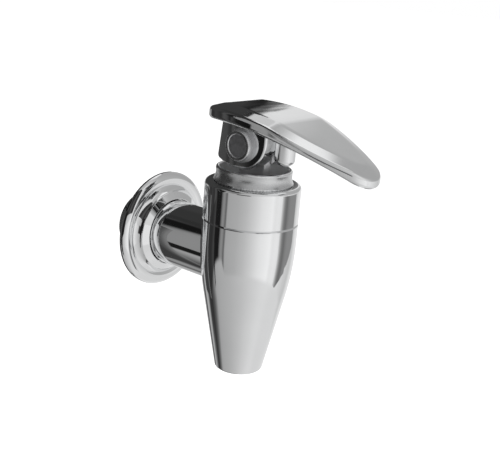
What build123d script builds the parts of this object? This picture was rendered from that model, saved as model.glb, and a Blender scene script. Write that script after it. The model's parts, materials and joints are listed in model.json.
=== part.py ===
from build123d import *
import os
from math import cos, hypot, radians

os.makedirs("parts", exist_ok=True)

# A wall-fixed, lever-operated drinks tap in millimetres.
# The origin is on the axis of the horizontal shank, in the plane of the wall.
# +X points away from the wall and +Z points up.
# The body hangs on an upright axis, and the lever pivots on a pin along Y.

# Gaps and cutting allowances
joint_gap = 0.03          # round a screwed or pressed joint, whose thread is drawn plain
running_gap = 0.05        # radial clearance of a shaft that turns or slides
rest_gap = 0.02           # end clearance of a spring
overrun = 3.0             # how far a cutter runs past the face it opens
edge_break = 0.35         # small chamfer on turned corners

# Where the main axes lie
reach = 39.2              # wall to the upright axis of the body
seam_height = 12.8        # top of the body above the shank axis
pin_height = 24.7         # pivot pin above the seam

# Body, a turned and tapered casting
body_radius = 15.5
body_length = 51.6
body_straight = 15.8      # length of the cylinder above the taper
body_blend_radius = 90.0  # soft change from the cylinder to the taper
spout_edge_radius = 0.9
spout_bore_radius = 6.2
spout_wall = 1.78186      # round the bore at the spout's lower end
chamber_radius = 10.2
chamber_depth = 28.0      # seam to the chamber floor
chamber_corner = 1.5
throat_radius = 5.6       # orifice that the seat washer closes
throat_length = 4.0
seat_lip_width = 1.2
seat_lip_height = 1.0
neck_bore_radius = 12.4   # threaded socket for the bonnet
neck_bore_depth = 5.2
port_radius = 6.8         # side hole for the shank

# Bonnet, the cap that screws on the body
spigot_length = 5.0
spigot_bore_radius = 9.6
shoulder_height = 12.4    # seam to the flat shoulder
shoulder_radius = 1.2
shoulder_share = 0.5      # of the shoulder's width that its rounding may take
neck_height = 17.0        # seam to the rim of the neck
neck_radius = 12.5
neck_waist = 0.35         # how far the neck draws in between its foot and its rim
neck_foot_flare = 0.3
neck_wall = 1.4
neck_groove = 0.35        # square groove under the neck's foot
rim_round = 0.55
cup_floor_height = 5.0    # seam to the floor of the open cup
cup_floor_thickness = 4.0
cup_corner = 0.9

# Guide bush and seals
bush_radius = 8.15
bush_flange_radius = 9.3
bush_flange_thickness = 1.5
seal_section_radius = 0.75
seal_groove_extra = 0.08  # room round a seal in its groove
seal_spacing = 2.5
bonnet_seal_section = 0.72
bonnet_seal_land = 0.8    # metal left below the bonnet seal
shank_seal_section = 0.5

# Stem, turned from one rod and milled to a tongue
stem_radius = 5.2
tongue_thickness = 3.2
tongue_base_height = 7.5  # seam to the start of the milled flats
stem_flange_radius = 8.2
stem_flange_thickness = 1.2
lower_stem_radius = 3.2
foot_radius = 8.4
foot_thickness = 2.0
foot_skirt = 1.6
foot_slope = 1.5

# Closing spring
spring_length = 8.0
spring_wire_radius = 0.5
spring_mean_radius = 7.0
spring_turns = 4

# Seat washer and what holds it
seat_washer_radius = 7.7
seat_washer_thickness = 3.0
retainer_radius = 4.2
retainer_thickness = 0.8
screw_radius = 1.5
screw_length = 11.0
screw_head_radius = 3.2
screw_head_height = 2.0
screw_slot_width = 0.9
screw_slot_depth = 1.0

# Shank, the horizontal tube through the wall
shank_radius = 11.25
shank_bore_radius = 4.5
tail_radius = 10.4
tail_length = 12.0
tail_relief_width = 1.6
tail_relief_depth = 0.9
tail_chamfer = 1.0
spigot_setback = 0.6      # shank spigot stops short of the chamber wall

# Rosette, the round cover plate on the wall
rosette_radius = 20.2
rosette_edge_height = 0.9   # straight outer edge
rosette_rim_height = 2.6    # top of the rounded rim
rosette_groove_height = 2.0
rosette_crest_height = 4.3
rosette_height = 5.8
rosette_hole_gap = 0.25     # round the shank
rosette_cone_width = 2.4    # hole to crest
rosette_cove_width = 1.9    # crest to groove
rosette_cove_depth = 0.45   # how far the cove sags below a straight slope
rosette_rim_share = 0.42    # where the rim is highest, as a share of its width from the groove
rosette_edge_round = 0.5
rosette_lip_round = 0.2
gasket_radius = 15.4
gasket_thickness = 1.8

# Pivot pin and its hardware
pin_radius = 2.5
pin_head_radius = 4.8
pin_head_thickness = 1.7
pin_recess_radius = 3.5
pin_recess_depth = 0.9
pin_cap_thickness = 0.3
pivot_washer_radius = 5.35
pivot_washer_thickness = 0.8
pin_edge_round = 0.35

# Lever hub, two ears that straddle the tongue
slot_width = 3.6
hub_width = 14.2
hub_front_radius = 9.5
hub_front_rise = 1.9      # centre of the round front above the pin
hub_front_setback = 0.3   # and behind it
heel_back = 9.9
heel_drop = 5.3
heel_bulge_back = 5.1
heel_bulge_drop = 7.15
heel_round = 1.6
hub_rear_top = 8.4        # how far the ears reach back under the blade
hub_edge_round = 0.6
nose_forward = 11.5       # round lifting nose in front of the pin
nose_radius = 3.3
nose_drop = 4.9
nose_round = 2.0

# Lever blade, an arched leaf with rolled-off edges and a straight stretch for the thumb
blade_half_width = 15.6
blade_widest = 8.0        # forward of the pin
blade_tip = 44.6
blade_tip_radius = 8.0
blade_rear = 11.5         # behind the pin
blade_corner = 6.0
arch_radius = 100.0
arch_crest_back = 5.5
arch_crest_height = 12.4  # above the pin
blade_thickness = 4.95
blade_thinning = 1.0      # forward shift of the underside's arc, which thins the tip
flat_back = 15.4          # thumb flat, a straight stretch of the arched top, forward of the pin
flat_front = 41.0
flat_blend_radius = 25.0  # soft change from the arch to the flat
rim_slope_width = 4.8     # width of the sloping band round the blade
rim_slope_drop = 1.4
rim_blend_radius = 6.0    # soft change from the top to the band
blade_top_round = 1.4
blade_under_round = 1.2
top_share = 0.5           # faces whose normal rises more than this share belong to the top
wall_share = 0.2          # and those that rise less than this share are upright walls
same_place = 0.00001      # edges whose middles are this near are one edge

# Places and sizes worked out from the values above
body_bottom = seam_height - body_length
spout_outer_radius = spout_bore_radius + spout_wall
chamber_floor = seam_height - chamber_depth
seat_height = chamber_floor + seat_lip_height
cup_floor = seam_height + cup_floor_height
cup_ceiling = cup_floor - cup_floor_thickness
bush_bottom = cup_ceiling - bush_flange_thickness
bush_hole_radius = bush_radius + joint_gap
bush_bore_radius = stem_radius + running_gap
pin_z = seam_height + pin_height
washer_top = seat_height + seat_washer_thickness
foot_top = washer_top + foot_thickness
stem_flange_top = bush_bottom - spring_length
screw_clearance_radius = screw_radius + joint_gap
ear_thickness = (hub_width - slot_width) / 2
ear_face = hub_width / 2
washer_face = ear_face + pivot_washer_thickness
head_face = washer_face + pin_head_thickness
recess_floor = head_face - pin_recess_depth
pin_hole_radius = pin_radius + joint_gap
shank_spigot_radius = port_radius - joint_gap
rosette_hole_radius = shank_radius + rosette_hole_gap
rosette_crest_radius = rosette_hole_radius + rosette_cone_width
rosette_groove_radius = rosette_crest_radius + rosette_cove_width
under_radius = arch_radius - blade_thickness

upright_axis = Axis((reach, 0, 0), (0, 0, 1))
upright = Plane(origin=(reach, 0, 0), x_dir=(1, 0, 0), z_dir=(0, -1, 0))
pin_axis = Axis((reach, 0, pin_z), (0, 1, 0))
pin_plan = Plane(origin=(reach, 0, pin_z), x_dir=(1, 0, 0), z_dir=(0, 0, 1))
lever_side = Plane(origin=(reach, 0, pin_z), x_dir=(1, 0, 0), z_dir=(0, -1, 0))


def corner(sketch, across, up):
    """the sketch's corner nearest to a point"""
    return sketch.vertices().sort_by_distance((across, up))[0]


def ring_section(inner, outer, low, high):
    """rectangle between two radii and two heights, for a plain turned ring"""
    with Locations(((inner + outer) / 2, (low + high) / 2)):
        Rectangle(outer - inner, high - low)


def save(piece, name):
    """label a finished piece and write its own file"""
    piece.part.label = name
    export_step(piece.part, "parts/" + name + ".step")


def body_outside(gap):
    """half section of the body's outer form, grown outwards by a gap"""
    with BuildSketch() as outline:
        with BuildLine():
            Polyline(
                (0, body_bottom - gap),
                (spout_outer_radius + gap, body_bottom - gap),
                (body_radius + gap, seam_height - body_straight),
                (body_radius + gap, seam_height),
                (0, seam_height),
                close=True,
            )
        make_face()
        fillet(corner(outline, body_radius + gap, seam_height - body_straight), body_blend_radius)
        fillet(corner(outline, spout_outer_radius + gap, body_bottom - gap), spout_edge_radius)
    return outline.sketch


def leaf(half_width, widest, tip, tip_radius, rear, rear_corner):
    """leaf outline about the X axis: two long side arcs, a round tip and a straight rear edge"""
    forward = tip - tip_radius - widest
    narrowing = half_width - tip_radius
    side_radius = (forward**2 + half_width**2 - tip_radius**2) / (2 * narrowing)
    side_centre = half_width - side_radius
    span = hypot(forward, side_centre)
    touch_x = widest + side_radius * forward / span
    touch_y = side_centre - side_radius * side_centre / span
    rear_y = side_centre + (side_radius**2 - (rear - widest) ** 2) ** 0.5
    with BuildSketch() as outline:
        with BuildLine():
            ThreePointArc((rear, rear_y), (widest, half_width), (touch_x, touch_y))
            ThreePointArc((touch_x, touch_y), (tip, 0), (touch_x, -touch_y))
            ThreePointArc((touch_x, -touch_y), (widest, -half_width), (rear, -rear_y))
            Line((rear, -rear_y), (rear, rear_y))
        make_face()
        fillet(outline.vertices().group_by(Axis.X)[0], rear_corner)
    return outline.sketch


# Body: outside turned to shape, chamber and seat bored from above, side port for the shank
with BuildPart() as body:
    with BuildSketch(upright):
        add(body_outside(0))
    revolve(axis=upright_axis)
    chamfer(body.edges().filter_by(GeomType.CIRCLE).sort_by(Axis.Z)[-1], edge_break)
    with BuildSketch(upright) as hollow:
        with BuildLine():
            Polyline(
                (0, body_bottom - overrun),
                (spout_bore_radius, body_bottom - overrun),
                (spout_bore_radius, seat_height - throat_length),
                (throat_radius, seat_height - throat_length),
                (throat_radius, seat_height),
                (throat_radius + seat_lip_width, seat_height),
                (throat_radius + seat_lip_width, chamber_floor),
                (chamber_radius, chamber_floor),
                (chamber_radius, seam_height - neck_bore_depth),
                (neck_bore_radius, seam_height - neck_bore_depth),
                (neck_bore_radius, seam_height + overrun),
                (0, seam_height + overrun),
                close=True,
            )
        make_face()
        fillet(corner(hollow, chamber_radius, chamber_floor), chamber_corner)
    revolve(axis=upright_axis, mode=Mode.SUBTRACT)
    with BuildSketch(Plane.YZ.offset(reach - body_radius - overrun)):
        Circle(port_radius)
    extrude(amount=body_radius + overrun, mode=Mode.SUBTRACT)
save(body, "body")

# Bonnet: screwed cap with a soft shoulder and an open, slightly waisted neck
bonnet_spigot_radius = neck_bore_radius - joint_gap
bonnet_groove_radius = bonnet_spigot_radius - bonnet_seal_section * 2
bonnet_groove_low = seam_height - spigot_length + bonnet_seal_land
bonnet_groove_high = bonnet_groove_low + 2 * (bonnet_seal_section + seal_groove_extra)
neck_foot = seam_height + shoulder_height + neck_groove
neck_top = seam_height + neck_height
neck_foot_radius = neck_radius + neck_foot_flare
shoulder_round = min(shoulder_radius, (body_radius - neck_foot_radius) * shoulder_share)
neck_middle = (neck_foot + neck_top) / 2
bonnet_groove_middle = (bonnet_groove_low + bonnet_groove_high) / 2
with BuildPart() as bonnet:
    with BuildSketch(upright) as section:
        with BuildLine():
            Polyline(
                (neck_radius, neck_top),
                (neck_radius - neck_wall, neck_top),
                (neck_radius - neck_wall, cup_floor),
                (bush_hole_radius, cup_floor),
                (bush_hole_radius, cup_ceiling),
                (spigot_bore_radius, cup_ceiling),
                (spigot_bore_radius, seam_height - spigot_length),
                (bonnet_spigot_radius, seam_height - spigot_length),
                (bonnet_spigot_radius, seam_height),
                (body_radius, seam_height),
                (body_radius, seam_height + shoulder_height),
                (neck_radius - neck_groove, seam_height + shoulder_height),
                (neck_radius - neck_groove, neck_foot),
                (neck_foot_radius, neck_foot),
            )
            ThreePointArc(
                (neck_foot_radius, neck_foot),
                (neck_radius - neck_waist, neck_middle),
                (neck_radius, neck_top),
            )
        make_face()
        fillet(corner(section, body_radius, seam_height + shoulder_height), shoulder_round)
        fillet(corner(section, neck_radius, neck_top), rim_round)
        fillet(corner(section, neck_radius - neck_wall, neck_top), rim_round)
        fillet(corner(section, neck_radius - neck_wall, cup_floor), cup_corner)
        chamfer(corner(section, body_radius, seam_height), edge_break)
        with Locations(((bonnet_groove_radius + neck_bore_radius) / 2, bonnet_groove_middle)):
            Rectangle(
                neck_bore_radius - bonnet_groove_radius,
                bonnet_groove_high - bonnet_groove_low,
                mode=Mode.SUBTRACT,
            )
    revolve(axis=upright_axis)
save(bonnet, "bonnet")

with BuildPart() as bonnet_seal:
    with BuildSketch(upright):
        with Locations((bonnet_spigot_radius - bonnet_seal_section, bonnet_groove_middle)):
            Circle(bonnet_seal_section - joint_gap / 2)
    revolve(axis=upright_axis)
save(bonnet_seal, "bonnet_o_ring")

# Guide bush: flanged sleeve under the cup floor, with two inner grooves for the stem seals
seal_mean_radius = bush_bore_radius + seal_section_radius
seal_heights = [
    cup_floor - seal_spacing / 2 - seal_section_radius / 2,
    cup_floor - seal_spacing - seal_spacing / 2 - seal_section_radius / 2,
]
seal_groove_width = 2 * (seal_section_radius + seal_groove_extra)
with BuildPart() as guide_bush:
    with BuildSketch(upright):
        ring_section(bush_bore_radius, bush_radius, bush_bottom, cup_floor)
        ring_section(bush_bore_radius, bush_flange_radius, bush_bottom, cup_ceiling)
        for height in seal_heights:
            with Locations((seal_mean_radius, height)):
                Rectangle(seal_groove_width, seal_groove_width, mode=Mode.SUBTRACT)
    revolve(axis=upright_axis)
    top_rings = guide_bush.edges().filter_by(GeomType.CIRCLE).group_by(Axis.Z)[-1]
    chamfer(top_rings.sort_by(SortBy.RADIUS)[-1], edge_break)
save(guide_bush, "guide_bush")

for name, height in zip(["upper_stem_seal", "lower_stem_seal"], seal_heights):
    with BuildPart() as stem_seal:
        with BuildSketch(upright):
            with Locations((seal_mean_radius, height)):
                Circle(seal_section_radius)
        revolve(axis=upright_axis)
    save(stem_seal, name)

# Stem: tongue, guided rod, spring flange, lower rod and a foot that cups the seat washer
with BuildPart() as stem:
    with BuildSketch(upright) as turned:
        with BuildLine():
            Polyline(
                (0, washer_top),
                (seat_washer_radius + running_gap, washer_top),
                (seat_washer_radius + running_gap, washer_top - foot_skirt),
                (foot_radius, washer_top - foot_skirt),
                (foot_radius, foot_top - foot_slope / 2),
                (lower_stem_radius, foot_top + foot_slope / 2),
                (lower_stem_radius, stem_flange_top - stem_flange_thickness),
                (stem_flange_radius, stem_flange_top - stem_flange_thickness),
                (stem_flange_radius, stem_flange_top),
                (stem_radius, stem_flange_top),
                (stem_radius, pin_z + stem_radius),
                (0, pin_z + stem_radius),
                close=True,
            )
        make_face()
    revolve(axis=upright_axis)
    with BuildSketch(Plane.XY.offset(seam_height + tongue_base_height)):
        for side in (-1, 1):
            with Locations((reach, side * (tongue_thickness / 2 + stem_radius))):
                Rectangle(2 * (stem_radius + overrun), 2 * stem_radius)
    extrude(amount=pin_height + stem_radius, mode=Mode.SUBTRACT)
    with BuildSketch(lever_side):
        Circle(stem_radius)
        with Locations((0, -body_length)):
            Rectangle(2 * (foot_radius + overrun), 2 * body_length)
    extrude(amount=foot_radius + overrun, both=True, mode=Mode.INTERSECT)
    with BuildSketch(lever_side):
        Circle(pin_radius + running_gap)
    extrude(amount=tongue_thickness, both=True, mode=Mode.SUBTRACT)
    with BuildSketch(Plane.XY.offset(washer_top)):
        with Locations((reach, 0)):
            Circle(screw_clearance_radius)
    extrude(amount=screw_length, mode=Mode.SUBTRACT)
save(stem, "stem")

# Closing spring between the bush and the stem's flange
spring_low = stem_flange_top + spring_wire_radius + rest_gap
spring_high = bush_bottom - spring_wire_radius - rest_gap
with BuildPart() as spring:
    with BuildLine(Plane(origin=(reach, 0, spring_low))) as coil:
        Helix((spring_high - spring_low) / spring_turns, spring_high - spring_low, spring_mean_radius)
    with BuildSketch(Plane(coil.line @ 0, z_dir=coil.line % 0)):
        Circle(spring_wire_radius)
    sweep()
save(spring, "closing_spring")

# Seat washer, its retaining washer and the screw that holds both under the stem
with BuildPart() as seat_washer:
    with BuildSketch(upright):
        ring_section(screw_clearance_radius, seat_washer_radius, seat_height, washer_top)
    revolve(axis=upright_axis)
save(seat_washer, "seat_washer")

retainer_bottom = seat_height - retainer_thickness
with BuildPart() as seat_retainer:
    with BuildSketch(upright):
        ring_section(screw_clearance_radius, retainer_radius, retainer_bottom, seat_height)
    revolve(axis=upright_axis)
save(seat_retainer, "seat_retainer")

screw_head_bottom = retainer_bottom - screw_head_height
screw_end = retainer_bottom + screw_length
with BuildPart() as seat_screw:
    with BuildSketch(upright):
        ring_section(0, screw_head_radius, screw_head_bottom, retainer_bottom)
        ring_section(0, screw_radius, retainer_bottom, screw_end)
    revolve(axis=upright_axis)
    chamfer(seat_screw.edges().filter_by(GeomType.CIRCLE).sort_by(Axis.Z)[0], edge_break)
    with BuildSketch(Plane.XY.offset(screw_head_bottom)):
        with Locations((reach, 0)):
            Rectangle(2 * screw_head_radius + overrun, screw_slot_width)
    extrude(amount=screw_slot_depth, mode=Mode.SUBTRACT)
save(seat_screw, "seat_screw")

# Shank: threaded tail for the wall, plain tube, end shaped to the body, spigot in its port
spigot_end = reach - chamber_radius - spigot_setback
shank_seal_x = reach - (body_radius + chamber_radius) / 2
shank_groove_radius = shank_spigot_radius - 2 * shank_seal_section
shank_groove_width = 2 * (shank_seal_section + seal_groove_extra)
with BuildPart() as body_envelope:
    with BuildSketch(upright):
        add(body_outside(joint_gap))
    revolve(axis=upright_axis)

with BuildPart() as shank:
    with BuildSketch(Plane.XZ):
        with BuildLine():
            Polyline(
                (-tail_length, 0),
                (-tail_length, tail_radius - tail_chamfer),
                (tail_chamfer - tail_length, tail_radius),
                (-tail_relief_width, tail_radius),
                (-tail_relief_width, tail_radius - tail_relief_depth),
                (0, tail_radius - tail_relief_depth),
                (0, shank_radius),
                (reach, shank_radius),
                (reach, 0),
                close=True,
            )
        make_face()
    revolve(axis=Axis.X)
    add(body_envelope.part, mode=Mode.SUBTRACT)
    with BuildSketch(Plane.XZ):
        with Locations(((reach / 2 + spigot_end) / 2, shank_spigot_radius / 2)):
            Rectangle(spigot_end - reach / 2, shank_spigot_radius)
    revolve(axis=Axis.X)
    with BuildSketch(Plane.XZ):
        with Locations((shank_seal_x, (shank_groove_radius + port_radius) / 2)):
            Rectangle(shank_groove_width, port_radius - shank_groove_radius)
    revolve(axis=Axis.X, mode=Mode.SUBTRACT)
    with BuildSketch(Plane.YZ.offset(-tail_length - overrun)):
        Circle(shank_bore_radius)
    extrude(amount=tail_length + reach + overrun, mode=Mode.SUBTRACT)
save(shank, "shank")

with BuildPart() as shank_seal:
    with BuildSketch(Plane.XZ):
        with Locations((shank_seal_x, port_radius - joint_gap - shank_seal_section)):
            Circle(shank_seal_section - joint_gap / 2)
    revolve(axis=Axis.X)
save(shank_seal, "shank_o_ring")

# Rosette: rounded rim, groove, hollow cove, crest and a cone that rises to the shank
rim_crest_radius = rosette_groove_radius + rosette_rim_share * (rosette_radius - rosette_groove_radius)
cove_middle = (rosette_groove_height + rosette_crest_height) / 2 - rosette_cove_depth
cove_middle_radius = (rosette_groove_radius + rosette_crest_radius) / 2
with BuildPart() as rosette:
    with BuildSketch(Plane.XZ) as plate:
        with BuildLine():
            Polyline(
                (rosette_crest_height, rosette_crest_radius),
                (rosette_height, rosette_hole_radius),
                (gasket_thickness, rosette_hole_radius),
                (gasket_thickness, gasket_radius + joint_gap),
                (0, gasket_radius + joint_gap),
                (0, rosette_radius),
                (rosette_edge_height, rosette_radius),
            )
            ThreePointArc(
                (rosette_edge_height, rosette_radius),
                (rosette_rim_height, rim_crest_radius),
                (rosette_groove_height, rosette_groove_radius),
            )
            ThreePointArc(
                (rosette_groove_height, rosette_groove_radius),
                (cove_middle, cove_middle_radius),
                (rosette_crest_height, rosette_crest_radius),
            )
        make_face()
        fillet(corner(plate, rosette_crest_height, rosette_crest_radius), rosette_edge_round)
        fillet(corner(plate, rosette_height, rosette_hole_radius), rosette_lip_round)
        fillet(corner(plate, 0, rosette_radius), rosette_lip_round)
    revolve(axis=Axis.X)
save(rosette, "rosette")

with BuildPart() as rosette_gasket:
    with BuildSketch(Plane.XZ):
        with Locations((gasket_thickness / 2, (rosette_hole_radius + gasket_radius) / 2)):
            Rectangle(gasket_thickness - joint_gap, gasket_radius - rosette_hole_radius)
    revolve(axis=Axis.X)
save(rosette_gasket, "rosette_gasket")

def arch(forward, radius, shift):
    """height above the pin of an arc about the arch's centre, or about one shifted forward"""
    return (radius**2 - (forward + arch_crest_back - shift) ** 2) ** 0.5 + arch_crest_height - arch_radius


def top_point(forward):
    """point of the blade's top line in the side view"""
    return (forward, arch(forward, arch_radius, 0))


def under_point(forward):
    """point of the blade's underside in the side view"""
    return (forward, arch(forward, under_radius, blade_thinning))


def blade_middle(forward):
    """height of the blade's mid thickness above the pin"""
    return (top_point(forward)[1] + under_point(forward)[1]) / 2


def shared_edges(first_faces, second_faces):
    """edges of the first faces that lie on the second faces too"""
    spots = [edge.center() for face in second_faces for edge in face.edges()]
    edges = [edge for face in first_faces for edge in face.edges()]
    return [edge for edge in edges if any((edge.center() - spot).length < same_place for spot in spots)]


# Blade of the lever: arched slab with its thumb flat, trimmed to its leaf plan, with sloped rims.
# It is drawn about the pin and put in place with the rest of the lever.
slab_back = -blade_rear - overrun
slab_front = blade_tip + overrun
with BuildPart() as blade:
    with BuildSketch(Plane.XZ) as profile:
        with BuildLine():
            ThreePointArc(
                top_point(slab_back),
                top_point((slab_back + flat_back) / 2),
                top_point(flat_back),
            )
            Line(top_point(flat_back), top_point(flat_front))
            ThreePointArc(
                top_point(flat_front),
                top_point((flat_front + slab_front) / 2),
                top_point(slab_front),
            )
            Line(top_point(slab_front), under_point(slab_front))
            ThreePointArc(
                under_point(slab_front),
                under_point((slab_front + slab_back) / 2),
                under_point(slab_back),
            )
            Line(under_point(slab_back), top_point(slab_back))
        make_face()
        fillet(corner(profile, *top_point(flat_back)), flat_blend_radius)
        fillet(corner(profile, *top_point(flat_front)), flat_blend_radius)
    extrude(amount=blade_half_width + overrun, both=True)
    with BuildSketch(Plane.XY):
        add(leaf(blade_half_width, blade_widest, blade_tip, blade_tip_radius, -blade_rear, blade_corner))
    extrude(amount=arch_radius, both=True, mode=Mode.INTERSECT)
    tops = blade.faces().filter_by(lambda face: face.normal_at().Z > top_share)
    arched_top = tops.sort_by(SortBy.AREA)[-1]
    arched_side = arched_top.edges().sort_by(Axis.Y)[-1]
    chamfer(arched_side, length=rim_slope_width, length2=rim_slope_drop, reference=arched_top)
    tops = blade.faces().filter_by(lambda face: face.normal_at().Z > top_share)
    walls = blade.faces().filter_by(lambda face: abs(face.normal_at().Z) < wall_share)
    slopes = [face for face in tops if shared_edges([face], walls)]
    strips = [face for face in tops if not shared_edges([face], walls)]
    fillet(shared_edges(slopes, strips), rim_blend_radius)
    underside = blade.faces().filter_by(lambda face: face.normal_at().Z < -top_share)[0]
    fillet(underside.edges(), blade_under_round)
    walls = blade.faces().filter_by(lambda face: abs(face.normal_at().Z) < wall_share)
    wall_tops = [wall.edges().sort_by(SortBy.LENGTH)[-2:].sort_by(Axis.Z)[-1] for wall in walls]
    fillet(wall_tops, blade_top_round)

# Ear: side view with a round front, a bulged sole and a heel, which lift the stem at the rim
hub_front = hub_front_radius - hub_front_setback
hub_sole = hub_front_rise - hub_front_radius
diagonal_share = cos(radians(45))
with BuildPart() as near_ear:
    with BuildSketch(lever_side.offset(slot_width / 2)) as side_view:
        with BuildLine():
            ThreePointArc(
                (-hub_front_setback, hub_sole),
                (-heel_bulge_back, -heel_bulge_drop),
                (-heel_back, -heel_drop),
            )
            Polyline(
                (-heel_back, -heel_drop),
                (-hub_rear_top, blade_middle(-hub_rear_top)),
                (hub_front, blade_middle(hub_front)),
                (hub_front, hub_front_rise),
            )
            ThreePointArc(
                (hub_front, hub_front_rise),
                (
                    hub_front_radius * diagonal_share - hub_front_setback,
                    hub_front_rise - hub_front_radius * diagonal_share,
                ),
                (-hub_front_setback, hub_sole),
            )
        make_face()
        fillet(corner(side_view, -heel_back, -heel_drop), heel_round)
    extrude(amount=ear_thickness)
    fillet(near_ear.faces().sort_by(Axis.Y)[0].edges(), hub_edge_round)

# Lifting nose: an upright boss with a rounded end, in front of the ears
with BuildPart() as nose:
    with BuildSketch(Plane.XY.offset(pin_z - nose_drop)):
        with Locations((reach + nose_forward, 0)):
            Circle(nose_radius)
    extrude(amount=nose_drop + blade_middle(nose_forward))
    fillet(nose.edges().sort_by(Axis.Z)[0], nose_round)

# Lever: one casting of blade, two ears and lifting nose
with BuildPart() as lever:
    add(blade.part.moved(Location((reach, 0, pin_z))))
    add(near_ear.part)
    add(near_ear.part.mirror(Plane.XZ))
    add(nose.part)
    with BuildSketch(lever_side):
        Circle(pin_hole_radius)
    extrude(amount=hub_width, both=True, mode=Mode.SUBTRACT)
save(lever, "lever")

# Pivot pin with a recessed head, the cap in its recess, and the collar on its far end
with BuildPart() as pivot_pin:
    with BuildSketch(pin_plan) as pin_section:
        with BuildLine():
            Polyline(
                (0, pin_recess_depth - head_face),
                (pin_recess_radius, pin_recess_depth - head_face),
                (pin_recess_radius, -head_face),
                (pin_head_radius, -head_face),
                (pin_head_radius, -washer_face),
                (pin_radius, -washer_face),
                (pin_radius, recess_floor),
                (0, recess_floor),
                close=True,
            )
        make_face()
        fillet(corner(pin_section, pin_head_radius, -head_face), pin_edge_round)
        fillet(corner(pin_section, pin_recess_radius, -head_face), pin_edge_round)
    revolve(axis=pin_axis)
save(pivot_pin, "pivot_pin")

with BuildPart() as pin_cap:
    with BuildSketch(pin_plan):
        ring_section(0, pin_recess_radius - joint_gap, -recess_floor - pin_cap_thickness, -recess_floor)
    revolve(axis=pin_axis)
save(pin_cap, "pin_cap")

with BuildPart() as pin_collar:
    with BuildSketch(pin_plan) as collar_section:
        with BuildLine():
            Polyline(
                (pin_hole_radius, washer_face),
                (pin_head_radius, washer_face),
                (pin_head_radius, head_face),
                (pin_recess_radius, head_face),
                (pin_recess_radius, recess_floor),
                (pin_hole_radius, recess_floor),
                close=True,
            )
        make_face()
        fillet(corner(collar_section, pin_head_radius, head_face), pin_edge_round)
        fillet(corner(collar_section, pin_recess_radius, head_face), pin_edge_round)
    revolve(axis=pin_axis)
save(pin_collar, "pin_collar")

for name, low in (("near_pivot_washer", -washer_face), ("far_pivot_washer", ear_face)):
    with BuildPart() as pivot_washer:
        with BuildSketch(pin_plan):
            ring_section(pin_hole_radius, pivot_washer_radius, low, low + pivot_washer_thickness)
        revolve(axis=pin_axis)
    save(pivot_washer, name)
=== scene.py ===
import bpy
import json
from math import hypot, pi
from mathutils import Matrix, Vector


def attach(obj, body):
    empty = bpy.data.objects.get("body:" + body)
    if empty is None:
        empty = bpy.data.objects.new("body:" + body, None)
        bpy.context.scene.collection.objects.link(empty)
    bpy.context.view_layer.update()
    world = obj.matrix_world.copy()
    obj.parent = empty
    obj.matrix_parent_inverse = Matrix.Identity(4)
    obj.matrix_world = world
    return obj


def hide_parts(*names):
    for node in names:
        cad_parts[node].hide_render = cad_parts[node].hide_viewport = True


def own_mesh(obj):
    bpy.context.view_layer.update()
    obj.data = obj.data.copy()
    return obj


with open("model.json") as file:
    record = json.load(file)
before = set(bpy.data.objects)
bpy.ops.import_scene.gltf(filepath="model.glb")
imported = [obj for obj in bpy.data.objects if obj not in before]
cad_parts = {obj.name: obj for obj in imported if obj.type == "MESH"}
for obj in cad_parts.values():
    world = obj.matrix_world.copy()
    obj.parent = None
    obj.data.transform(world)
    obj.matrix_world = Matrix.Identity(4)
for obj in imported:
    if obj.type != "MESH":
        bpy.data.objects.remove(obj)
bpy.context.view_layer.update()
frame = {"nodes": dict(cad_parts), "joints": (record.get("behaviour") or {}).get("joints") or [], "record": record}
joints = {joint["name"]: joint for joint in frame["joints"]}

# Camera, in metres and in the part's frame
CAMERA_PLACE = Vector((0.20850, -0.21189, 0.08884))
CAMERA_RIGHT = Vector((0.7641, 0.6398, 0.0806))
CAMERA_UP = Vector((-0.2449, 0.1722, 0.9541))
CAMERA_BACK = Vector((0.5967, -0.7488, 0.2884))
LENS = 63.0
SENSOR_WIDTH = 36.0
NEAR_CLIP = 0.01

# Floor and lamp
FLOOR_HEIGHT = -0.11
FLOOR_REACH = 6.0
FLOOR_TONES = (0.78, 0.8)
FLOOR_GLOW = 0.75
LAMP_PLACE = Vector((0.15, -0.25, 0.7))
LAMP_AIM = Vector((0.03, 0, 0))
LAMP_SIZE = 0.6
LAMP_POWER = 3.0

# The bonnet's open cup and its neck, which are turned and not polished. The inside of the cup is also near-white
# and barely metallic, a painted brightness for light that hardly reaches into it
BODY_AXIS = joints["lever_tilt"]["pos_m"][0]
CUP_RADIUS = 0.0114
CUP_FLOOR = 0.0177
CUP_METALLIC = 0.15
NECK_RADIUS = 0.0132
NECK_FOOT = 0.0254
NECK_TOP = 0.0293

# Depth of a finish's relief, how far a card's tones wander as a share of its length, and the two values that
# most of a noise lies between
RELIEF_DEPTH = 0.0002
CARD_CLOUDINESS = 0.06
NOISE_LOW = 0.3
NOISE_HIGH = 0.7

# Surroundings that the chrome mirrors: a pale tent with dark panels. A band is a row of greys round the
# horizon, as (turn in degrees, grey). A turn of 0 is the camera's side, and positive is to its right.
# Just below the horizon: what the upright cylinders mirror
LOW_BAND = [
    (-180, 0.92), (-158, 0.6), (-150, 0.05), (-143, 0.1), (-135, 0.48), (-128, 0.4), (-120, 0.04),
    (-98, 0.028), (-90, 0.06), (-85, 0.012), (-75, 0.01), (-71, 0.2), (-67, 0.28), (-63, 0.22), (-60, 0.1),
    (-56, 0.4), (-30, 0.45), (-10, 0.54), (8, 0.67), (27, 0.83), (52, 0.95), (60, 0.85), (69, 0.88),
    (80, 0.82), (128, 0.6), (143, 0.8), (180, 0.92),
]
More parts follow.
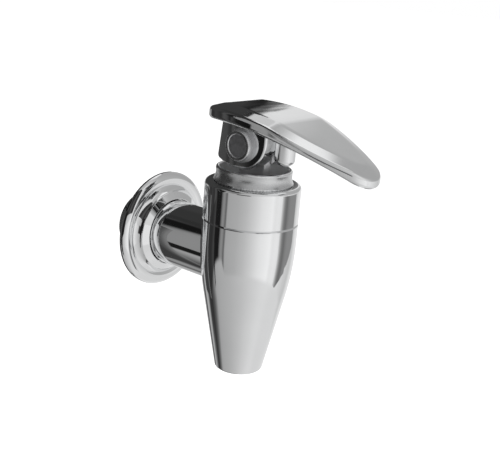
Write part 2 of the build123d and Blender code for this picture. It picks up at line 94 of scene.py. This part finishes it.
# Further down: what the tapering spout and the underside of the shank mirror
STEEP_BAND = [
    (-180, 0.5), (-152, 0.42), (-143, 0.08), (-131, 0.3), (-123, 0.3), (-115, 0.08), (-108, 0.03),
    (-102, 0.07), (-97, 0.1), (-91, 0.2), (-84, 0.38), (-74, 0.42), (-40, 0.48), (-9, 0.57), (15, 0.66),
    (46, 0.76), (60, 0.78), (80, 0.745), (123, 0.745), (135, 0.77), (152, 0.85), (180, 0.85),
]
# Above the horizon: grey on the left, and paler in front and on the right
HIGH_BAND = [
    (-180, 0.05), (-101, 0.055), (-98, 0.008), (-87, 0.008), (-84, 0.26), (-60, 0.32), (-50, 0.22),
    (-36, 0.25), (-26, 0.44), (-10, 0.5), (50, 0.8), (90, 0.46), (120, 0.42), (140, 0.42), (163, 0.47),
    (169, 0.78), (180, 0.82),
]
# Overhead
CEILING_BAND = [
    (-180, 0.95), (-66, 0.95), (-56, 0.2), (-36, 0.2), (-20, 0.5), (100, 0.55), (128, 0.95), (155, 0.95),
    (160, 0.55), (163, 0.46), (172, 0.46), (177, 0.95),
]

# Where one band gives way to the next, as (start, end). Heights are sines of the angle above the horizon.
STEEP_EDGE = (-0.41, -0.36)
HORIZON_EDGE = (0.045, 0.06)
CEILING_EDGE = (0.93, 0.96)
# How much lower those edges lie round the horizon, as (turn in degrees, drop in height)
STEEP_DROP = [
    (-180, 0.2), (-110, 0.2), (-98, 0.14), (-86, 0.03), (-76, 0.0), (-64, 0.0), (-55, 0.1), (180, 0.16),
]
HORIZON_DROP = [(-88, 0.0), (-85, 0.285), (-64, 0.285), (-58, 0.0)]
CEILING_DROP = [
    (-180, 0.05), (-125, 0.05), (-110, 0.0), (-35, 0.0), (-15, 0.05), (130, 0.05), (148, 0.10),
    (171, 0.10), (176, 0.05),
]
CEILING_WAVES = 0.06
CEILING_WAVE_SCALE = 3.0

# The dark panel behind on the left, in degrees counted from the camera's side through its right, up to 360.
# Its edge towards the pale side is ragged, and leans further round above PANEL_LEAN_FROM, by PANEL_LEAN
# degrees for each unit of height. High up the panel is dimmer.
PANEL_BAND = [
    (0, 0.82), (176.2, 0.8), (177.0, 0.2), (177.6, 0.02), (179.1, 0.01), (181, 0.045), (360, 0.05),
]
PANEL_START = (171, 174)
PANEL_END = (256, 259)
PANEL_LEAN = 115
PANEL_LEAN_FROM = 0.6
PANEL_RAGGED = 0.016
PANEL_RAG_SCALE = 30.0
PANEL_DIM_EDGE = (0.60, 0.72)
PANEL_DIM = 0.2

# A dark flag high on the left, and a dark line at the horizon in front on the left. The foot and top of each
# are heights, and the start and end are turns in degrees.
FLAG_TONE = 0.03
FLAG_FOOT = (0.64, 0.70)
FLAG_START = (-118, -112)
FLAG_END = (-42, -30)
LINE_TONE = 0.06
LINE_FOOT = (-0.2, -0.14)
LINE_TOP = (0.1, 0.16)
LINE_START = (-38, -32)
LINE_END = (-8, 0)


def node(tree, kind, **values):
    """A shader node with its properties and constant inputs set."""
    made = tree.nodes.new(kind)
    for name, value in values.items():
        if hasattr(made, name):
            setattr(made, name, value)
        else:
            made.inputs[name.replace("_", " ")].default_value = value
    return made


def link(tree, source, target):
    tree.links.new(source, target)


def math_node(tree, operation, first, second=None, third=None):
    """A math node on sockets or constants; its output socket is returned."""
    made = tree.nodes.new("ShaderNodeMath")
    made.operation = operation
    for slot, value in enumerate((first, second, third)):
        if value is None:
            continue
        if isinstance(value, (int, float)):
            made.inputs[slot].default_value = value
        else:
            link(tree, value, made.inputs[slot])
    return made.outputs[0]


def noise(tree, where, scale, detail=2.0):
    """The grey of a noise texture."""
    made = node(tree, "ShaderNodeTexNoise", Scale=scale, Detail=detail)
    link(tree, where, made.inputs["Vector"])
    return made.outputs["Fac"]


def ramp(tree, fac, stops):
    """The tone at fac on a colour ramp; stops are (place, grey or colour)."""
    made = tree.nodes.new("ShaderNodeValToRGB")
    elements = made.color_ramp.elements
    while len(elements) < len(stops):
        elements.new(0.5)
    for element, (place, value) in zip(elements, stops):
        element.position = place
        element.color = (value, value, value, 1) if isinstance(value, float) else (*value, 1)
    link(tree, fac, made.inputs["Fac"])
    return made.outputs["Color"]


def step(tree, value, start, end):
    """Smooth step from 0 at start to 1 at end."""
    made = node(tree, "ShaderNodeMapRange", interpolation_type="SMOOTHSTEP", From_Min=start, From_Max=end)
    link(tree, value, made.inputs["Value"])
    return made.outputs["Result"]


def window(tree, value, opening, closing):
    """1 between the smooth steps opening and closing, each (start, end), and 0 outside them."""
    shut = math_node(tree, "SUBTRACT", 1.0, step(tree, value, *closing))
    return math_node(tree, "MULTIPLY", step(tree, value, *opening), shut)


def blend(tree, fac, first, second):
    """The first colour where fac is 0 and the second where it is 1; either may be a grey number."""
    made = node(tree, "ShaderNodeMix", data_type="RGBA")
    link(tree, fac, made.inputs["Factor"])
    for value, name in ((first, "A"), (second, "B")):
        target = [slot for slot in made.inputs if slot.name == name and slot.type == "RGBA"][0]
        if isinstance(value, float):
            target.default_value = (value, value, value, 1)
        else:
            link(tree, value, target)
    return [slot for slot in made.outputs if slot.type == "RGBA"][0]


def camera_else(tree, seen, otherwise):
    """The shader seen for the camera's own rays, and otherwise for all others."""
    rays = tree.nodes.new("ShaderNodeLightPath")
    made = tree.nodes.new("ShaderNodeMixShader")
    link(tree, rays.outputs["Is Camera Ray"], made.inputs["Fac"])
    link(tree, otherwise, made.inputs[1])
    link(tree, seen, made.inputs[2])
    return made.outputs["Shader"]


def material(name):
    """A new material, its node tree, its principled shader and the object coordinates."""
    made = bpy.data.materials.new(name)
    made.use_nodes = True
    tree = made.node_tree
    where = tree.nodes.new("ShaderNodeTexCoord").outputs["Object"]
    return made, tree, tree.nodes["Principled BSDF"], where


def show(tree, shader):
    """Gives the material another shader than its principled one."""
    link(tree, shader, tree.nodes["Material Output"].inputs["Surface"])


def mottle(tree, cloud, low, high, target):
    """Lets a cloud vary an input between low and high."""
    link(tree, ramp(tree, cloud, [(NOISE_LOW, low), (NOISE_HIGH, high)]), target)


def relief(tree, cloud, strength, shader):
    """Lets a cloud stand out as a fine relief."""
    bump = node(tree, "ShaderNodeBump", Strength=strength, Distance=RELIEF_DEPTH)
    link(tree, cloud, bump.inputs["Height"])
    link(tree, bump.outputs["Normal"], shader.inputs["Normal"])


def metal(name, low, high, rough, grain=220.0, bump=0.0, stretch=(1, 1, 1), metallic=1.0):
    """Metal with a faint cloud in its colour, a finer one in its gloss, and an optional fine relief. Its
    roughness is a pair, low and high."""
    made, tree, shader, where = material(name)
    shader.inputs["Metallic"].default_value = metallic
    mottle(tree, noise(tree, where, scale=60.0, detail=3.0), low, high, shader.inputs["Base Color"])
    mapping = node(tree, "ShaderNodeMapping", Scale=stretch)
    link(tree, where, mapping.inputs["Vector"])
    fine = noise(tree, mapping.outputs["Vector"], scale=grain, detail=4.0)
    mottle(tree, fine, *rough, shader.inputs["Roughness"])
    if bump:
        relief(tree, fine, bump, shader)
    return made


def plain(name, low, high, rough, grain, bump):
    """Rubber or plastic with a mottled colour and a fine relief."""
    made, tree, shader, where = material(name)
    shader.inputs["Roughness"].default_value = rough
    cloud = noise(tree, where, scale=grain, detail=4.0)
    mottle(tree, cloud, low, high, shader.inputs["Base Color"])
    relief(tree, cloud, bump, shader)
    return made


def floor_pale():
    """Pale, and lifted to white for the camera, so that only the part's shadow shows on it."""
    made, tree, shader, where = material("floor")
    shader.inputs["Roughness"].default_value = 1.0
    mottle(tree, noise(tree, where, scale=8.0), *FLOOR_TONES, shader.inputs["Base Color"])
    glow = node(tree, "ShaderNodeEmission", Color=(1, 1, 1, 1), Strength=FLOOR_GLOW)
    both = tree.nodes.new("ShaderNodeAddShader")
    link(tree, shader.outputs["BSDF"], both.inputs[0])
    link(tree, glow.outputs["Emission"], both.inputs[1])
    show(tree, camera_else(tree, both.outputs["Shader"], shader.outputs["BSDF"]))
    return made


def card_grey(name, first_x, last_x, tones):
    """Greys along a card, as (share of the way from first to last, grey), with cloudy edges between them."""
    made, tree, _, where = material(name)
    split = tree.nodes.new("ShaderNodeSeparateXYZ")
    link(tree, where, split.inputs[0])
    from_first = math_node(tree, "SUBTRACT", split.outputs["X"], first_x)
    along = math_node(tree, "DIVIDE", from_first, last_x - first_x)
    cloudy = math_node(tree, "MULTIPLY_ADD", noise(tree, where, scale=60.0), CARD_CLOUDINESS, along)
    shine = node(tree, "ShaderNodeEmission", Strength=1.0)
    link(tree, ramp(tree, cloudy, tones), shine.inputs["Color"])
    show(tree, shine.outputs["Emission"])
    return made


def add(name, data):
    """A new object in the scene."""
    made = bpy.data.objects.new(name, data)
    bpy.context.scene.collection.objects.link(made)
    return made


def staging(name, corners, look):
    """A flat piece that isn't part of the object."""
    mesh = bpy.data.meshes.new(name)
    mesh.from_pydata(corners, [], [list(range(len(corners)))])
    mesh.materials.append(look)
    made = add(name, mesh)
    return made


def near_card(name, first, last, outline, tones):
    """An upright card that only mirrors show. It stands on the line through two points (x, y), and its
    outline is (share of the way from first to last, height)."""
    first = Vector(first)
    last = Vector(last)
    corners = [(*first.lerp(last, share), z) for share, z in outline]
    card = staging(name, corners, card_grey(name, first.x, last.x, tones))
    card.visible_camera = False
    card.visible_diffuse = False
    card.visible_shadow = False


# Finishes of the pieces, by the record's material slots
finishes = {
    "chrome_body": metal("chrome_body", (0.84, 0.845, 0.85), (0.88, 0.885, 0.89), rough=(0.035, 0.06)),
    "chrome_lever": metal("chrome_lever", (0.82, 0.825, 0.83), (0.87, 0.875, 0.88), rough=(0.045, 0.08)),
    "chrome_pin": metal("chrome_pin", (0.80, 0.80, 0.81), (0.86, 0.86, 0.87), rough=(0.20, 0.30)),
    "steel": metal("steel", (0.64, 0.64, 0.65), (0.74, 0.74, 0.75),
                   rough=(0.34, 0.48), grain=900.0, bump=0.15, stretch=(1, 1, 6)),
    "dark_cap": plain("dark_cap", (0.10, 0.10, 0.103), (0.15, 0.15, 0.155),
                      rough=0.38, grain=900.0, bump=0.2),
    "bush_plastic": plain("bush_plastic", (0.05, 0.05, 0.053), (0.07, 0.07, 0.074),
                          rough=0.45, grain=600.0, bump=0.2),
    "seal_rubber": plain("seal_rubber", (0.018, 0.018, 0.019), (0.035, 0.035, 0.037),
                         rough=0.6, grain=700.0, bump=0.3),
    "silicone": plain("silicone", (0.68, 0.67, 0.63), (0.76, 0.75, 0.71),
                      rough=0.5, grain=500.0, bump=0.2),
}
for entry in frame["record"]["subparts"]:
    mesh = frame["nodes"][entry["node"]].data
    mesh.materials.clear()
    mesh.materials.append(finishes[entry["material_slot"]])
    for face in mesh.polygons:
        face.use_smooth = True

# The satin inside of the cup, painted near-white and barely metallic to brighten it where little light reaches,
# and the satin neck, which are faces of the bonnet
cup_painted_bright_look = metal("cup_satin_painted_bright", (0.86, 0.865, 0.87), (0.92, 0.925, 0.93),
                 rough=(0.5, 0.65), metallic=CUP_METALLIC)
neck_look = metal("neck_satin", (0.60, 0.605, 0.61), (0.72, 0.725, 0.73),
                  rough=(0.24, 0.36), grain=500.0, stretch=(1, 1, 12))
bonnet = frame["nodes"]["bonnet"]
bonnet_looks = bonnet.data.materials
bonnet_looks.append(cup_painted_bright_look)
bonnet_looks.append(neck_look)
cup_index = bonnet_looks.find(cup_painted_bright_look.name)
neck_index = bonnet_looks.find(neck_look.name)
for face in bonnet.data.polygons:
    spot = bonnet.matrix_world @ face.center
    off_axis = hypot(spot.x - BODY_AXIS, spot.y)
    if off_axis < CUP_RADIUS and spot.z > CUP_FLOOR:
        face.material_index = cup_index
    elif off_axis < NECK_RADIUS and NECK_FOOT < spot.z < NECK_TOP:
        face.material_index = neck_index

# The closing spring, as a copy on the root body in place of the hidden original. The rising stem squeezes the real
# spring against its upper end; the copy keeps its relaxed shape
relaxed = frame["nodes"]["closing_spring"]
coil = add("closing_spring_coil", relaxed.data.copy())
coil.matrix_world = relaxed.matrix_world
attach(coil, "root")
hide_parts("closing_spring")
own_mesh(coil)

# Floor, which isn't mirrored
square = ((-1, -1), (1, -1), (1, 1), (-1, 1))
floor_corners = [(FLOOR_REACH * x, FLOOR_REACH * y, FLOOR_HEIGHT) for x, y in square]
floor = staging("floor", floor_corners, floor_pale())
floor.visible_glossy = False

# Surroundings
world = bpy.data.worlds.new("studio")
bpy.context.scene.world = world
world.use_nodes = True
sky = world.node_tree
sky.nodes.clear()

# A direction as its turn round the horizon, from 0 to 1 with 0.5 on the camera's side, and its height
way = sky.nodes.new("ShaderNodeTexCoord").outputs["Generated"]
towards = Vector((CAMERA_BACK.x, CAMERA_BACK.y, 0)).normalized()
rightward = Vector((-towards.y, towards.x, 0))
ahead = node(sky, "ShaderNodeVectorMath", operation="DOT_PRODUCT")
aside = node(sky, "ShaderNodeVectorMath", operation="DOT_PRODUCT")
for product, direction in ((ahead, towards), (aside, rightward)):
    link(sky, way, product.inputs[0])
    product.inputs[1].default_value = direction
angle = math_node(sky, "ARCTAN2", aside.outputs["Value"], ahead.outputs["Value"])
turn = math_node(sky, "MULTIPLY_ADD", angle, 1 / (2 * pi), 0.5)
split = sky.nodes.new("ShaderNodeSeparateXYZ")
link(sky, way, split.inputs[0])
height = split.outputs["Z"]


def at(degrees):
    """The turn of an angle from the camera's side."""
    return 0.5 + degrees / 360


def of_turn(degrees):
    """An angle as a share of a whole turn."""
    return degrees / 360


def band(stops):
    """The tone of a band in this direction."""
    return ramp(sky, turn, [(at(degrees), grey) for degrees, grey in stops])


def raised(drops):
    """The height, raised by as much as an edge is to lie lower."""
    return math_node(sky, "ADD", height, band(drops))


def uneven(value, scale, amount):
    """The value with a noise of that amount."""
    about_zero = math_node(sky, "SUBTRACT", noise(sky, way, scale), 0.5)
    return math_node(sky, "MULTIPLY_ADD", about_zero, amount, value)


# Below the horizon
colour = blend(sky, step(sky, raised(STEEP_DROP), *STEEP_EDGE), band(STEEP_BAND), band(LOW_BAND))

# Above the horizon, where the dark panel takes the place of the band
full_turn = math_node(sky, "FRACT", math_node(sky, "ADD", turn, 0.5))
rise = math_node(sky, "MAXIMUM", math_node(sky, "SUBTRACT", height, PANEL_LEAN_FROM), 0.0)
lean = math_node(sky, "MULTIPLY", rise, of_turn(-PANEL_LEAN))
ragged = uneven(math_node(sky, "ADD", full_turn, lean), PANEL_RAG_SCALE, PANEL_RAGGED)
dimming = math_node(sky, "MULTIPLY_ADD", step(sky, height, *PANEL_DIM_EDGE), -PANEL_DIM, 1.0)
panel = node(sky, "ShaderNodeVectorMath", operation="SCALE")
link(sky, ramp(sky, ragged, [(of_turn(degrees), grey) for degrees, grey in PANEL_BAND]), panel.inputs[0])
link(sky, dimming, panel.inputs["Scale"])
behind = window(sky, full_turn, map(of_turn, PANEL_START), map(of_turn, PANEL_END))
upper = blend(sky, behind, band(HIGH_BAND), panel.outputs["Vector"])
colour = blend(sky, step(sky, raised(HORIZON_DROP), *HORIZON_EDGE), colour, upper)

# The flag, the ceiling with its wavy edge, and the line
flag = math_node(sky, "MULTIPLY", step(sky, height, *FLAG_FOOT),
                 window(sky, turn, map(at, FLAG_START), map(at, FLAG_END)))
colour = blend(sky, flag, colour, FLAG_TONE)
overhead = step(sky, uneven(raised(CEILING_DROP), CEILING_WAVE_SCALE, CEILING_WAVES), *CEILING_EDGE)
colour = blend(sky, overhead, colour, band(CEILING_BAND))
line = math_node(sky, "MULTIPLY", window(sky, height, LINE_FOOT, LINE_TOP),
                 window(sky, turn, map(at, LINE_START), map(at, LINE_END)))
colour = blend(sky, line, colour, LINE_TONE)

# The surroundings light the object and are mirrored, and the camera sees white instead
mirrored = node(sky, "ShaderNodeBackground", Strength=1.0)
link(sky, colour, mirrored.inputs["Color"])
white = node(sky, "ShaderNodeBackground", Color=(1, 1, 1, 1), Strength=1.0)
out = sky.nodes.new("ShaderNodeOutputWorld")
both = camera_else(sky, white.outputs["Background"], mirrored.outputs["Background"])
link(sky, both, out.inputs["Surface"])

# Small dark cards close to the tap, as a photographer's flags
# Right of the body
near_card("right_card", (0.0870, 0.0120), (0.0616, 0.0326),
          [(0, 0.017), (1, 0.017), (1, -0.001), (0.8, -0.009), (0.48, -0.019), (0.2, -0.027), (0, -0.027)],
          [(0.0, 0.8), (0.09, 0.55), (0.16, 0.35), (0.26, 0.2), (0.36, 0.16), (0.55, 0.26), (1.0, 0.27)])
# Left of the lever
near_card("left_card", (0.0050, -0.0350), (0.0240, -0.0500),
          [(0, 0.0195), (1, 0.0195), (1, 0.042), (0, 0.042)],
          [(0.0, 0.07), (0.35, 0.055), (0.52, 0.012), (1.0, 0.006)])
# Left of the shank
near_card("shank_card", (-0.0205, -0.0113), (-0.0009, -0.0269),
          [(0, -0.040), (1, -0.040), (1, 0.012), (0, 0.012)],
          [(0.0, 0.05), (0.82, 0.05), (0.92, 0.1), (1.0, 0.2)])
# In front of the rosette
near_card("rosette_card", (0.0100, -0.0400), (0.0270, -0.0120),
          [(-0.3, -0.035), (-0.07, -0.035), (-0.05, -0.006), (0.12, -0.002), (0.15, 0.015), (0.5, 0.0135),
           (0.72, 0.011), (0.76, 0.048), (0.6, 0.062), (0.3, 0.085), (-0.3, 0.085)],
          [(0.0, 0.012), (0.14, 0.02), (0.32, 0.07), (0.46, 0.08), (0.58, 0.03), (0.75, 0.05)])

# One soft lamp above, which isn't mirrored
lamp_data = bpy.data.lights.new("soft_lamp", "AREA")
lamp_data.shape = "DISK"
lamp_data.size = LAMP_SIZE
lamp_data.energy = LAMP_POWER
lamp = add("soft_lamp", lamp_data)
lamp.location = LAMP_PLACE
lamp.rotation_euler = (LAMP_AIM - LAMP_PLACE).to_track_quat("-Z", "Y").to_euler()
lamp.visible_glossy = False

camera_data = bpy.data.cameras.new("camera")
camera_data.lens = LENS
camera_data.sensor_width = SENSOR_WIDTH
camera_data.clip_start = NEAR_CLIP
camera = add("camera", camera_data)
turned = Matrix((CAMERA_RIGHT, CAMERA_UP, CAMERA_BACK)).transposed()
camera.matrix_world = Matrix.Translation(CAMERA_PLACE) @ turned.to_4x4()
bpy.context.scene.camera = camera

bpy.context.scene.view_settings.view_transform = "Standard"
